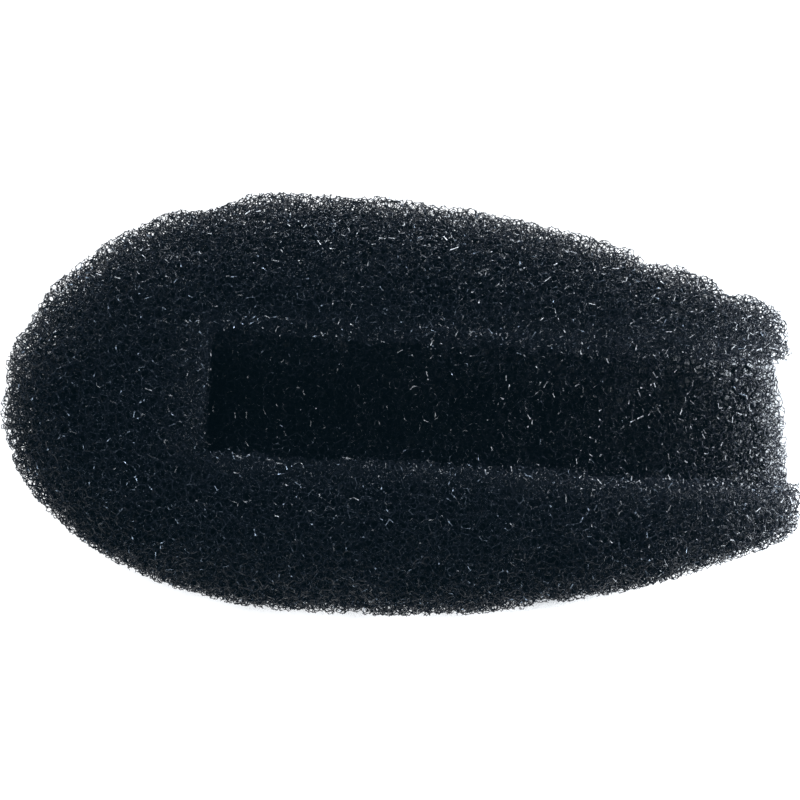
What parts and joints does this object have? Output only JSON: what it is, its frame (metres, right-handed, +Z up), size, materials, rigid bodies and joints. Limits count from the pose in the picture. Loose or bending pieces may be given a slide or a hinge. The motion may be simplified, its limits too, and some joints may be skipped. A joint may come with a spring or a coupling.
{
  "type": "filter sponge",
  "caption": "Egg-shaped block of open-cell filter foam with rounded sides, a cut-off tail and a straight channel in one face for a filter's intake.",
  "frame": {"origin": "centre of the sponge's box, on the surface that its back rests on", "axes": "+X along the channel towards its open end, +Y across the sponge, +Z up out of the channelled face"},
  "size_m": [0.15, 0.0786, 0.04],
  "materials": {
    "foam": "black open-cell polyurethane foam with slightly glossy struts"
  },
  "bodies": {
    "root": {"foam_sponge": "foam"}
  },
  "joints": []
}
